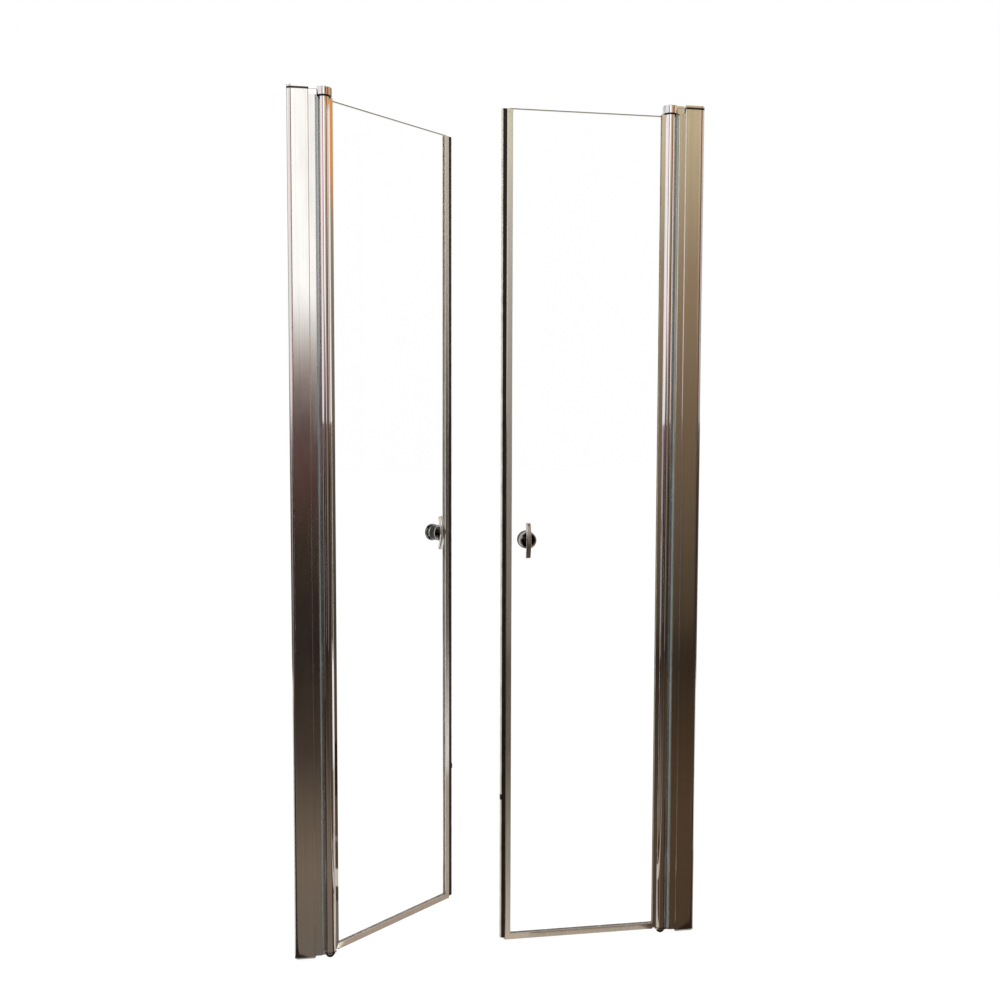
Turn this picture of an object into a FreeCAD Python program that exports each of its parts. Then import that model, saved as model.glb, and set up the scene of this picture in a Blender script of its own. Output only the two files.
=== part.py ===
import FreeCAD, Part
import math
import os

# Double-leaf pivot shower door for a niche between two walls.
# Millimetres, +Z up, +X along the opening from left to right, +Y into the shower.
# The origin is on the floor, midway between the walls, in the plane of the two pivot axes.
# Each piece is drawn for the left side, with its pivot axis on the Z axis and its leaf closed along +X.
# The right side is the mirror image, and the left leaf then turns to the angle at which it stands open.

os.makedirs("parts", exist_ok=True)

Vector = FreeCAD.Vector
ORIGIN = Vector(0, 0, 0)
ALONG_X = Vector(1, 0, 0)
ALONG_Y = Vector(0, 1, 0)
ALONG_Z = Vector(0, 0, 1)
TINY = 1e-6

# The opening and the pose at rest
NICHE_WIDTH = 900.0
WALL_FRAME_HEIGHT = 1850.0
MEETING_GAP = 1.0
LEFT_OPEN_ANGLE = 38.8

# Clearances
FIT = 0.05
AXIAL_PLAY = 0.1
SLIDE_GAP = 0.3
SEAT_GAP = 0.1
PLATE_GAP = 0.5

# Wall profile and its caps
WALL_DEPTH = 45.0
WALL_WIDTH = 32.0
WALL_FLANGE = 1.8
WALL_WEB = 2.2
WALL_CORNER_R = 10.0
WALL_MOUTH_R = 1.5
WALL_BEAD_SETBACK = 2.0
WALL_BEAD_WIDTH = 0.8
WALL_BEAD_DEPTH = 0.5
WALL_HOLE_R = 2.5
WALL_HOLE_END = 125.0
WALL_HOLE_INNER_END = 655.0
TOP_CAP_HEIGHT = 8.2
TOP_CAP_PROUD = 0.6
TOP_CAP_NECK = 4.2
TOP_CAP_NECK_INSET = 0.8
BOTTOM_CAP_HEIGHT = 2.5
BOTTOM_CAP_PROUD = 0.3
ARM_SLOT_MARGIN = 2.0

# Telescopic jamb profile and its seal
JAMB_TRAVEL = 15.0
JAMB_FLANGE = 1.6
JAMB_NOSE_GAP = 4.1
JAMB_NOSE_TUCK = 0.5
JAMB_NOSE_R = 1.5
SEAL_GROOVE_WIDTH = 4.0
SEAL_GROOVE_DEPTH = 1.8
SEAL_GROOVE_FLOOR = 1.2
SEAL_WIDTH = 12.0
SEAL_END_GAP = 0.5

# Clamp screws that lock the jamb in the wall profile
CLAMP_COUNT = 3
CLAMP_END = 295.0
CLAMP_EDGE = 3.5
CLAMP_SCREW_R = 2.0
CLAMP_HEAD_R = 4.0
CLAMP_HEAD_HEIGHT = 2.6
CLAMP_NUT_SIZE = 12.0
CLAMP_NUT_THICKNESS = 4.0
CLAMP_SLOT_PLAY = 0.5
RECESS_WIDTH = 0.9
RECESS_DEPTH = 1.2
RECESS_REACH = 0.6

# Hinge profile of the leaf
TUBE_R = 12.4
TUBE_WALL = 1.8
CHANNEL_WEB = 1.0
CHANNEL_DEPTH = 6.0
CHANNEL_WALL = 2.0
CHANNEL_CAP_GAP = 0.3

# Pivot brackets, feet, pins, bushes and washers
FOOT_R = 10.0
FOOT_COLLAR = 0.5
FOOT_FLOOR = 4.0
PLATE_THICKNESS = 3.0
PLATE_RIM = 1.0
TOP_WASHER_RIM = 1.6
TOP_WASHER_THICKNESS = 2.0
BOTTOM_WASHER_INSET = 0.4
BOTTOM_WASHER_THICKNESS = 1.5
BOSS_RIM = 3.0
BOSS_HEIGHT = 17.4
BOSS_RISE = 0.5
BOSS_EDGE_R = 2.5
ARM_DROP = 1.0
ARM_THICKNESS = 4.5
ARM_WIDTH = 20.0
ARM_OVERLAP = 2.0
NECK_INSET = 1.0
TONGUE_SETBACK = 2.0
BRACKET_SCREW_R = 2.0
BRACKET_SCREW_LENGTH = 12.0
BRACKET_SCREW_EDGE = 3.0
BRACKET_HEAD_R = 3.5
BRACKET_SCREW_END = 14.0
BRACKET_SCREW_PITCH = 24.0
PIN_R = 4.0
PIN_SHY = 2.0
PIN_HOLE_DEPTH = 12.0
PIN_POINT = 1.0
BUSH_LENGTH = 30.0

# Glass and its gaskets
GLASS_THICKNESS = 5.0
GLASS_DROP = 2.0
GLASS_ARRIS = 0.6
GASKET = 1.0
GASKET_LIP = 0.8

# Bottom rail and free-edge profile
LEAF_WALL = 2.2
SLOT_DEPTH = 8.0
RAIL_RISE = 0.5
RAIL_FOOT = 5.5
RAIL_END_GAP = 0.2
EDGE_WEB = 2.0
EDGE_DROP = 2.0
PROFILE_EDGE_R = 2.0
CORNER_SCREW_R = 1.2
CORNER_SCREW_LENGTH = 28.0
CORNER_HEAD_R = 2.2
CORNER_HEAD_HEIGHT = 1.8

# Magnet strip, lip and plug on the free edge
MAGNET_FACE = 8.0
MAGNET_THICKNESS = 10.0
MAGNET_GROOVE_WIDTH = 4.0
MAGNET_GROOVE_DEPTH = 2.5
MAGNET_EDGE_R = 1.0
LIP_FACE = 3.0
LIP_THICKNESS = 8.0
LIP_NOSE_R = 2.0
PLUG_HEIGHT = 11.5
PLUG_CENTRE = 327.0

# Pull knob
KNOB_INSET = 57.5
KNOB_HEIGHT = 900.0
KNOB_BARREL_R = 18.4
KNOB_BARREL_LENGTH = 18.0
KNOB_BARREL_FLOOR = 4.0
KNOB_EDGE_R = 1.5
KNOB_RIM = 1.8
KNOB_DISH_DEPTH = 5.0
STEM_R = 6.0
STEM_ENGAGE = 9.0
BAR_LENGTH = 78.0
BAR_WIDTH = 11.0
BAR_END_ROUND = 2.5
BAR_MID_THICKNESS = 10.0
BAR_END_THICKNESS = 7.0
BAR_BOW = 4.0
BAR_RIM_GAP = 1.5
BAR_EDGE_R = 2.5
STUD_R = 3.0
KNOB_HOLE_R = 6.0
GROMMET_R = 14.0
GROMMET_THICKNESS = 1.0
GROMMET_COLLAR_GAP = 0.3
NUT_R = 19.8
NUT_HEIGHT = 8.0
NUT_EDGE_R = 3.0
NUT_CROWN = 3.0
NUT_NOTCH = 3.0
NUT_NOTCH_DEPTH = 1.5

# Places along X, from the pivot axis
NOSE_X = -(TUBE_R + JAMB_NOSE_GAP)
MOUTH_X = NOSE_X - JAMB_TRAVEL + JAMB_NOSE_TUCK
WALL_X = MOUTH_X - WALL_DEPTH
PIVOT_X = NICHE_WIDTH / 2 + WALL_X
JAMB_BACK_X = WALL_X + WALL_CORNER_R + JAMB_TRAVEL + SLIDE_GAP
SEAL_GROOVE_X = NOSE_X - SEAL_GROOVE_DEPTH
JAMB_WEB_X = SEAL_GROOVE_X - SEAL_GROOVE_FLOOR
TONGUE_BACK_X = JAMB_BACK_X + TONGUE_SETBACK
TONGUE_FRONT_X = JAMB_WEB_X - TONGUE_SETBACK
ARM_BACK_X = MOUTH_X - ARM_OVERLAP
CLAMP_X = JAMB_BACK_X + CLAMP_EDGE + CLAMP_SCREW_R + CLAMP_SLOT_PLAY
BRACKET_SCREW_X = TONGUE_FRONT_X - BRACKET_SCREW_EDGE
CHANNEL_FLOOR_X = TUBE_R + CHANNEL_WEB
CHANNEL_OUT_X = CHANNEL_FLOOR_X + CHANNEL_DEPTH
LEAF_REACH = PIVOT_X - MEETING_GAP / 2
MAGNET_OUT_X = LEAF_REACH - LIP_FACE
EDGE_OUT_X = MAGNET_OUT_X - MAGNET_FACE
MAGNET_GROOVE_X = EDGE_OUT_X - MAGNET_GROOVE_DEPTH
EDGE_SLOT_X = MAGNET_GROOVE_X - EDGE_WEB
EDGE_IN_X = EDGE_SLOT_X - SLOT_DEPTH
GLASS_IN_X = CHANNEL_FLOOR_X + GASKET
GLASS_OUT_X = EDGE_SLOT_X - GASKET
RAIL_IN_X = CHANNEL_OUT_X + RAIL_END_GAP
RAIL_GASKET_IN_X = RAIL_IN_X + GASKET_LIP
KNOB_X = LEAF_REACH - KNOB_INSET

# Radii about the pivot axis
TOP_WASHER_R = TUBE_R + TOP_WASHER_RIM
BOTTOM_WASHER_R = TUBE_R - BOTTOM_WASHER_INSET
BOSS_R = TOP_WASHER_R + BOSS_RIM
PLATE_HEAD_R = TUBE_R + PLATE_RIM

# Half widths about the door line
WALL_HALF = WALL_WIDTH / 2
WALL_INNER_HALF = WALL_HALF - WALL_FLANGE
JAMB_HALF = WALL_INNER_HALF - SLIDE_GAP
JAMB_INNER_HALF = JAMB_HALF - JAMB_FLANGE
TONGUE_HALF = JAMB_INNER_HALF - SEAT_GAP
GLASS_HALF = GLASS_THICKNESS / 2
SLOT_HALF = GLASS_HALF + GASKET
CHANNEL_HALF = SLOT_HALF + CHANNEL_WALL
LEAF_HALF = SLOT_HALF + LEAF_WALL
GROMMET_FACE = GLASS_HALF + GROMMET_THICKNESS

# Heights above the floor
FOOT_HEIGHT = FOOT_R + FOOT_COLLAR
PLATE_TOP = FOOT_HEIGHT + PLATE_THICKNESS
WALL_PROFILE_BASE = FOOT_HEIGHT - PLATE_GAP
WALL_BASE = WALL_PROFILE_BASE - BOTTOM_CAP_HEIGHT
WALL_TOP = WALL_BASE + WALL_FRAME_HEIGHT
WALL_PROFILE_TOP = WALL_TOP - TOP_CAP_HEIGHT
BOSS_TOP = WALL_TOP + BOSS_RISE
BOSS_BASE = BOSS_TOP - BOSS_HEIGHT
ARM_TOP = BOSS_TOP - ARM_DROP
ARM_BASE = ARM_TOP - ARM_THICKNESS
JAMB_TOP = BOSS_BASE
TONGUE_LENGTH = 2 * BRACKET_SCREW_END + BRACKET_SCREW_PITCH
TUBE_BASE = PLATE_TOP + BOTTOM_WASHER_THICKNESS + AXIAL_PLAY
LEAF_TOP = BOSS_BASE - TOP_WASHER_THICKNESS - AXIAL_PLAY
GLASS_TOP = LEAF_TOP - GLASS_DROP
EDGE_TOP = GLASS_TOP - EDGE_DROP
SEAL_TOP = LEAF_TOP - SEAL_END_GAP
PIN_ENGAGE = BUSH_LENGTH - PIN_SHY
CHANNEL_CAP_THICKNESS = BOTTOM_WASHER_THICKNESS - CHANNEL_CAP_GAP
RAIL_BASE = FOOT_HEIGHT + RAIL_RISE
RAIL_SLOT_Z = RAIL_BASE + RAIL_FOOT
RAIL_TOP = RAIL_SLOT_Z + SLOT_DEPTH
GLASS_BASE = RAIL_SLOT_Z + GASKET
MAGNET_BASE = RAIL_SLOT_Z
CORNER_SCREW_Z = RAIL_BASE + RAIL_FOOT / 2
PLUG_BASE = RAIL_BASE + PLUG_CENTRE - PLUG_HEIGHT / 2
PLUG_TOP = PLUG_BASE + PLUG_HEIGHT
KNOB_Z = RAIL_BASE + KNOB_HEIGHT

# Distances of the knob's faces in front of the glass's middle plane
KNOB_BARREL_OUT = GROMMET_FACE + KNOB_BARREL_LENGTH
STEM_BASE_OUT = KNOB_BARREL_OUT - STEM_ENGAGE
STUD_END_OUT = STEM_BASE_OUT - KNOB_BARREL_FLOOR
NUT_OUT = GROMMET_FACE + NUT_HEIGHT
NUT_THREAD_OUT = NUT_OUT - NUT_CROWN
BAR_IN_MID = KNOB_BARREL_OUT + BAR_RIM_GAP
BAR_OUT_MID = BAR_IN_MID + BAR_MID_THICKNESS
BAR_IN_END = BAR_IN_MID - BAR_BOW
BAR_OUT_END = BAR_IN_END + BAR_END_THICKNESS


def slab(x0, x1, half, z0, z1):
    """A block that spans the door line by half its width on each side."""
    return Part.makeBox(x1 - x0, 2 * half, z1 - z0, Vector(x0, -half, z0))


def block(x0, x1, y0, y1, z0, z1):
    return Part.makeBox(x1 - x0, y1 - y0, z1 - z0, Vector(x0, y0, z0))


def rod_z(radius, z0, z1):
    return Part.makeCylinder(radius, z1 - z0, Vector(0, 0, z0), ALONG_Z)


def rod_x(radius, x0, x1, z):
    return Part.makeCylinder(radius, x1 - x0, Vector(x0, 0, z), ALONG_X)


def rod_y(radius, y0, y1, x, z):
    return Part.makeCylinder(radius, y1 - y0, Vector(x, y0, z), ALONG_Y)


def ring_z(outer, inner, z0, z1):
    return rod_z(outer, z0, z1).cut(rod_z(inner, z0, z1))


def join(first, *others):
    """One solid from pieces that overlap."""
    return first.fuse(list(others)).removeSplitter()


def upright_edges(shape, x):
    """The edges that stand along Z in the plane at x."""
    found = []
    for edge in shape.Edges:
        a, b = edge.Vertexes[0].Point, edge.Vertexes[-1].Point
        if abs(a.x - x) < TINY and abs(b.x - x) < TINY and abs(a.y - b.y) < TINY:
            found.append(edge)
    return found


def level_edges(shape, z):
    """The edges that lie along X in the plane at z."""
    found = []
    for edge in shape.Edges:
        a, b = edge.Vertexes[0].Point, edge.Vertexes[-1].Point
        if abs(a.z - z) < TINY and abs(b.z - z) < TINY and abs(a.y - b.y) < TINY:
            found.append(edge)
    return found


def round_edges(shape, axis, place):
    """The circles of a turned piece that lie in the plane at place along an axis, 1 for Y and 2 for Z."""
    found = []
    for edge in shape.Edges:
        if edge.Closed and abs(edge.CenterOfMass[axis] - place) < TINY:
            found.append(edge)
    return found


def cross_recess(y, x, z, head_r):
    """Two crossed slots in a screw head whose outer face lies at y."""
    long_half = head_r * RECESS_REACH
    short_half = RECESS_WIDTH / 2
    first = block(x - long_half, x + long_half, y - RECESS_DEPTH, y, z - short_half, z + short_half)
    second = block(x - short_half, x + short_half, y - RECESS_DEPTH, y, z - long_half, z + long_half)
    return first.fuse(second)


# Pieces fixed to the wall

def wall_profile():
    """Channel with rounded wall corners, a fine line beside each corner and four wall screw holes."""
    base, top = WALL_PROFILE_BASE, WALL_PROFILE_TOP
    outer = slab(WALL_X, MOUTH_X, WALL_HALF, base, top)
    outer = outer.makeFillet(WALL_CORNER_R, upright_edges(outer, WALL_X))
    outer = outer.makeFillet(WALL_MOUTH_R, upright_edges(outer, MOUTH_X))
    hollow_x = WALL_X + WALL_WEB
    hollow = slab(hollow_x, MOUTH_X, WALL_INNER_HALF, base, top)
    hollow = hollow.makeFillet(WALL_CORNER_R - WALL_FLANGE, upright_edges(hollow, hollow_x))
    profile = outer.cut(hollow)
    bead_x = WALL_X + WALL_CORNER_R + WALL_BEAD_SETBACK
    bead_floor = WALL_HALF - WALL_BEAD_DEPTH
    for y0, y1 in ((-WALL_HALF, -bead_floor), (bead_floor, WALL_HALF)):
        profile = profile.cut(block(bead_x, bead_x + WALL_BEAD_WIDTH, y0, y1, base, top))
    for end in (WALL_HOLE_END, WALL_HOLE_INNER_END):
        for z in (WALL_BASE + end, WALL_TOP - end):
            profile = profile.cut(rod_x(WALL_HOLE_R, WALL_X, hollow_x, z))
    for z in clamp_heights():
        profile = profile.cut(rod_y(CLAMP_SCREW_R + FIT, WALL_INNER_HALF, WALL_HALF, CLAMP_X, z))
    return profile


def wall_top_cap():
    """End cap on a set-back neck, with an open slot in which the pivot arm slides."""
    plate_base = WALL_PROFILE_TOP + TOP_CAP_NECK
    plate = slab(WALL_X, MOUTH_X + TOP_CAP_PROUD, WALL_HALF + TOP_CAP_PROUD, plate_base, WALL_TOP)
    plate = plate.makeFillet(WALL_CORNER_R, upright_edges(plate, WALL_X))
    neck_half = WALL_HALF - TOP_CAP_NECK_INSET
    neck = slab(WALL_X, MOUTH_X - TOP_CAP_NECK_INSET, neck_half, WALL_PROFILE_TOP, plate_base)
    neck = neck.makeFillet(WALL_CORNER_R, upright_edges(neck, WALL_X))
    cap = join(plate, neck)
    slot_back = ARM_BACK_X - JAMB_TRAVEL - ARM_SLOT_MARGIN
    slot_half = ARM_WIDTH / 2 + ARM_SLOT_MARGIN
    return cap.cut(slab(slot_back, MOUTH_X + TOP_CAP_PROUD, slot_half, WALL_PROFILE_TOP, WALL_TOP))


def wall_bottom_cap():
    cap = slab(WALL_X, MOUTH_X, WALL_HALF + BOTTOM_CAP_PROUD, WALL_BASE, WALL_PROFILE_BASE)
    return cap.makeFillet(WALL_CORNER_R, upright_edges(cap, WALL_X))


def clamp_heights():
    spacing = (WALL_FRAME_HEIGHT - 2 * CLAMP_END) / (CLAMP_COUNT - 1)
    return [WALL_BASE + CLAMP_END + i * spacing for i in range(CLAMP_COUNT)]


def clamp_nut_faces():
    """The nut's outer and inner face, just inside the jamb's flange."""
    outer = JAMB_INNER_HALF - SEAT_GAP
    return outer - CLAMP_NUT_THICKNESS, outer


def clamp_screws():
    """Pan-head screws on the shower side, through the wall profile into the clamp nuts."""
    nut_inner, _ = clamp_nut_faces()
    head_out = WALL_HALF + CLAMP_HEAD_HEIGHT
    screws = []
    for z in clamp_heights():
        head = rod_y(CLAMP_HEAD_R, WALL_HALF, head_out, CLAMP_X, z)
        head = head.makeFillet(CLAMP_HEAD_HEIGHT / 2, round_edges(head, 1, head_out))
        head = head.cut(cross_recess(head_out, CLAMP_X, z, CLAMP_HEAD_R))
        screws.append(join(head, rod_y(CLAMP_SCREW_R, nut_inner, WALL_HALF, CLAMP_X, z)))
    return Part.makeCompound(screws)


def clamp_nuts():
    inner, outer = clamp_nut_faces()
    half = CLAMP_NUT_SIZE / 2
    nuts = []
    for z in clamp_heights():
        nut = block(CLAMP_X - half, CLAMP_X + half, inner, outer, z - half, z + half)
        nuts.append(nut.cut(rod_y(CLAMP_SCREW_R + FIT, inner, outer, CLAMP_X, z)))
    return Part.makeCompound(nuts)


# Pieces of the sliding jamb

def bracket_screw_heights():
    low = PLATE_TOP + BRACKET_SCREW_END
    high = JAMB_TOP - BRACKET_SCREW_END
    return [low, low + BRACKET_SCREW_PITCH, high - BRACKET_SCREW_PITCH, high]


def jamb_profile():
    """Channel nested in the wall profile, with a groove for the seal, clamp slots and screw holes."""
    outer = slab(JAMB_BACK_X, NOSE_X, JAMB_HALF, PLATE_TOP, JAMB_TOP)
    outer = outer.makeFillet(JAMB_NOSE_R, upright_edges(outer, NOSE_X))
    profile = outer.cut(slab(JAMB_BACK_X, JAMB_WEB_X, JAMB_INNER_HALF, PLATE_TOP, JAMB_TOP))
    profile = profile.cut(slab(SEAL_GROOVE_X, NOSE_X, SEAL_GROOVE_WIDTH / 2, PLATE_TOP, JAMB_TOP))
    slot_half = CLAMP_SCREW_R + CLAMP_SLOT_PLAY
    for z in clamp_heights():
        slot = block(
            CLAMP_X, CLAMP_X + JAMB_TRAVEL, JAMB_INNER_HALF, JAMB_HALF, z - slot_half, z + slot_half
        )
        for x in (CLAMP_X, CLAMP_X + JAMB_TRAVEL):
            slot = slot.fuse(rod_y(slot_half, JAMB_INNER_HALF, JAMB_HALF, x, z))
        profile = profile.cut(slot)
    head_hole_r = BRACKET_HEAD_R + SEAT_GAP
    for z in bracket_screw_heights():
        profile = profile.cut(rod_y(head_hole_r, JAMB_INNER_HALF, JAMB_HALF, BRACKET_SCREW_X, z))
    return profile


def bracket_screws():
    """Low-head screws, flush in the jamb's shower side, that hold the two brackets' tongues."""
    head_out = JAMB_HALF - SEAT_GAP
    screws = []
    for z in bracket_screw_heights():
        head = rod_y(BRACKET_HEAD_R, TONGUE_HALF, head_out, BRACKET_SCREW_X, z)
        head = head.cut(cross_recess(head_out, BRACKET_SCREW_X, z, BRACKET_HEAD_R))
        shank_in = TONGUE_HALF - BRACKET_SCREW_LENGTH
        screws.append(join(head, rod_y(BRACKET_SCREW_R, shank_in, TONGUE_HALF, BRACKET_SCREW_X, z)))
    return Part.makeCompound(screws)


def drill_tongue(bracket):
    """Screw holes where the bracket's tongue meets them."""
    for z in bracket_screw_heights():
        shank_in = TONGUE_HALF - BRACKET_SCREW_LENGTH - FIT
        bracket = bracket.cut(rod_y(BRACKET_SCREW_R + FIT, shank_in, TONGUE_HALF, BRACKET_SCREW_X, z))
    return bracket


def top_bracket():
    """Round pivot boss on an arm, with a tongue that goes down into the jamb."""
    boss = rod_z(BOSS_R, BOSS_BASE, BOSS_TOP)
    boss = boss.makeFillet(BOSS_EDGE_R, round_edges(boss, 2, BOSS_TOP))
    arm = slab(ARM_BACK_X, 0, ARM_WIDTH / 2, ARM_BASE, ARM_TOP)
    tongue = slab(TONGUE_BACK_X, TONGUE_FRONT_X, TONGUE_HALF, JAMB_TOP - TONGUE_LENGTH, JAMB_TOP)
    neck = slab(ARM_BACK_X, 0, ARM_WIDTH / 2 - NECK_INSET, JAMB_TOP, ARM_TOP)
    bracket = join(boss, arm, tongue, neck)
    bracket = bracket.cut(rod_z(PIN_R + FIT, BOSS_BASE, BOSS_BASE + PIN_HOLE_DEPTH))
    return drill_tongue(bracket)


def bottom_bracket():
    """Plate under the jamb and the hinge tube, with a tongue that goes up into the jamb."""
    plate = slab(TONGUE_BACK_X, 0, ARM_WIDTH / 2, FOOT_HEIGHT, PLATE_TOP)
    sole = slab(TONGUE_BACK_X, NOSE_X, TONGUE_HALF, FOOT_HEIGHT, PLATE_TOP)
    head = rod_z(PLATE_HEAD_R, FOOT_HEIGHT, PLATE_TOP)
    tongue = slab(TONGUE_BACK_X, TONGUE_FRONT_X, TONGUE_HALF, FOOT_HEIGHT, PLATE_TOP + TONGUE_LENGTH)
    bracket = join(plate, sole, head, tongue)
    bracket = bracket.cut(rod_z(PIN_R + FIT, FOOT_HEIGHT, PLATE_TOP))
    return drill_tongue(bracket)


def domed_foot():
    """Domed cap nut under the plate, down to the floor, with a blind hole for the pin."""
    ball = Part.makeSphere(FOOT_R, Vector(0, 0, FOOT_R))
    dome = ball.common(rod_z(FOOT_R, 0, FOOT_R))
    foot = join(dome, rod_z(FOOT_R, FOOT_R, FOOT_HEIGHT))
    return foot.cut(rod_z(PIN_R + FIT, FOOT_FLOOR, FOOT_HEIGHT))


def pivot_pins():
    """A pin up from the foot and a pin down from the boss, each with a chamfered point."""
    low = rod_z(PIN_R, FOOT_FLOOR, TUBE_BASE + PIN_ENGAGE)
    low = low.makeChamfer(PIN_POINT, round_edges(low, 2, TUBE_BASE + PIN_ENGAGE))
    high = rod_z(PIN_R, LEAF_TOP - PIN_ENGAGE, BOSS_BASE + PIN_HOLE_DEPTH)
    high = high.makeChamfer(PIN_POINT, round_edges(high, 2, LEAF_TOP - PIN_ENGAGE))
    return Part.makeCompound([low, high])


def thrust_washers():
    hole = PIN_R + FIT
    low = ring_z(BOTTOM_WASHER_R, hole, PLATE_TOP, PLATE_TOP + BOTTOM_WASHER_THICKNESS)
    high = ring_z(TOP_WASHER_R, hole, BOSS_BASE - TOP_WASHER_THICKNESS, BOSS_BASE)
    return Part.makeCompound([low, high])


def jamb_seal():
    """Strip on the jamb's nose, hollowed to follow the hinge tube."""
    reach = TUBE_R + SLIDE_GAP
    half = SEAL_WIDTH / 2
    tip_x = -math.sqrt(reach ** 2 - half ** 2)
    strip = slab(NOSE_X, tip_x, half, PLATE_TOP, SEAL_TOP).cut(rod_z(reach, PLATE_TOP, SEAL_TOP))
    foot_x = SEAL_GROOVE_X + SEAT_GAP
    foot = slab(foot_x, NOSE_X, SEAL_GROOVE_WIDTH / 2 - SEAT_GAP, PLATE_TOP, SEAL_TOP)
    return join(strip, foot)


# Pieces of the swinging leaf

def hinge_profile():
    """Hollow tube with a glazing channel along it."""
    tube = rod_z(TUBE_R, TUBE_BASE, LEAF_TOP)
    channel = slab(0, CHANNEL_OUT_X, CHANNEL_HALF, TUBE_BASE, LEAF_TOP)
    profile = join(tube, channel)
    profile = profile.cut(rod_z(TUBE_R - TUBE_WALL, TUBE_BASE, LEAF_TOP))
    return profile.cut(slab(CHANNEL_FLOOR_X, CHANNEL_OUT_X, SLOT_HALF, TUBE_BASE, LEAF_TOP))


def hinge_bushes():
    outer = TUBE_R - TUBE_WALL - FIT
    inner = PIN_R + FIT
    low = ring_z(outer, inner, TUBE_BASE, TUBE_BASE + BUSH_LENGTH)
    high = ring_z(outer, inner, LEAF_TOP - BUSH_LENGTH, LEAF_TOP)
    return Part.makeCompound([low, high])


def channel_caps():
    """Small plates that close the glazing channel above and below, clear of the top washer."""
    cap_x = TOP_WASHER_R + CHANNEL_CAP_GAP
    low = slab(cap_x, CHANNEL_OUT_X, CHANNEL_HALF, TUBE_BASE - CHANNEL_CAP_THICKNESS, TUBE_BASE)
    high = slab(cap_x, CHANNEL_OUT_X, CHANNEL_HALF, LEAF_TOP, LEAF_TOP + CHANNEL_CAP_THICKNESS)
    return Part.makeCompound([low, high])


def glass_panel():
    """Pane with ground arrises along its bare top edge and a hole for the knob."""
    pane = slab(GLASS_IN_X, GLASS_OUT_X, GLASS_HALF, GLASS_BASE, GLASS_TOP)
    pane = pane.makeChamfer(GLASS_ARRIS, level_edges(pane, GLASS_TOP))
    return pane.cut(rod_y(KNOB_HOLE_R, -GLASS_HALF, GLASS_HALF, KNOB_X, KNOB_Z))


def mitre_waste(outside):
    """The wedge that the corner's mitre takes off the upright profile (True) or off the rail (False)."""
    inner = Vector(EDGE_IN_X, -LEAF_HALF, RAIL_TOP)
    outer = Vector(EDGE_OUT_X, -LEAF_HALF, RAIL_BASE)
    run = outer - inner
    start = inner - run
    end = outer + run
    corner = Vector(start.x, start.y, end.z) if outside else Vector(end.x, start.y, start.z)
    face = Part.Face(Part.makePolygon([start, end, corner, start]))
    return face.extrude(Vector(0, 2 * LEAF_HALF, 0))


def free_edge_profile():
    """Upright that holds the glass's free edge, grooved outside for the magnet strip."""
    profile = slab(EDGE_IN_X, EDGE_OUT_X, LEAF_HALF, RAIL_BASE, EDGE_TOP)
    profile = profile.makeFillet(PROFILE_EDGE_R, upright_edges(profile, EDGE_OUT_X))
    profile = profile.cut(slab(EDGE_IN_X, EDGE_SLOT_X, SLOT_HALF, RAIL_BASE, EDGE_TOP))
    groove = slab(MAGNET_GROOVE_X, EDGE_OUT_X, MAGNET_GROOVE_WIDTH / 2, MAGNET_BASE, EDGE_TOP)
    profile = profile.cut(groove)
    profile = profile.cut(mitre_waste(True))
    return profile.cut(rod_x(CORNER_SCREW_R + FIT, EDGE_IN_X, EDGE_OUT_X, CORNER_SCREW_Z))


def bottom_rail():
    """Rail under the glass, mitred to the free-edge profile."""
    rail = slab(RAIL_IN_X, EDGE_OUT_X, LEAF_HALF, RAIL_BASE, RAIL_TOP)
    rail = rail.makeFillet(PROFILE_EDGE_R, level_edges(rail, RAIL_BASE))
    rail = rail.cut(slab(RAIL_IN_X, EDGE_OUT_X, SLOT_HALF, RAIL_SLOT_Z, RAIL_TOP))
    rail = rail.cut(mitre_waste(False))
    hole_in = EDGE_OUT_X - CORNER_SCREW_LENGTH - FIT
    return rail.cut(rod_x(CORNER_SCREW_R + FIT, hole_in, EDGE_OUT_X, CORNER_SCREW_Z))


def corner_screw():
    """Screw through the free-edge profile into the rail's foot."""
    head_out = EDGE_OUT_X + CORNER_HEAD_HEIGHT
    head = rod_x(CORNER_HEAD_R, EDGE_OUT_X, head_out, CORNER_SCREW_Z)
    shank = rod_x(CORNER_SCREW_R, EDGE_OUT_X - CORNER_SCREW_LENGTH, EDGE_OUT_X, CORNER_SCREW_Z)
    slot_half = RECESS_WIDTH / 2
    slot_z0, slot_z1 = CORNER_SCREW_Z - slot_half, CORNER_SCREW_Z + slot_half
    slot = slab(head_out - RECESS_DEPTH, head_out, CORNER_HEAD_R, slot_z0, slot_z1)
    return join(head, shank).cut(slot)


def glazing_gaskets():
    """Three lengths of channel gasket round the glass: at the hinge, along the free edge and in the rail."""
    pane = slab(GLASS_IN_X, GLASS_OUT_X, GLASS_HALF, GLASS_BASE, GLASS_TOP)
    hinge = slab(CHANNEL_FLOOR_X, CHANNEL_OUT_X + GASKET_LIP, SLOT_HALF, RAIL_SLOT_Z, GLASS_TOP)
    edge = slab(EDGE_IN_X - GASKET_LIP, EDGE_SLOT_X, SLOT_HALF, RAIL_SLOT_Z, EDGE_TOP)
    rail = slab(RAIL_GASKET_IN_X, EDGE_SLOT_X, SLOT_HALF, RAIL_SLOT_Z, RAIL_TOP + GASKET_LIP)
    edge = edge.cut(mitre_waste(True))
    rail = rail.cut(mitre_waste(False))
    lengths = [strip.cut(pane) for strip in (hinge, edge, rail)]
    return Part.makeCompound([solid for strip in lengths for solid in strip.Solids])


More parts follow.
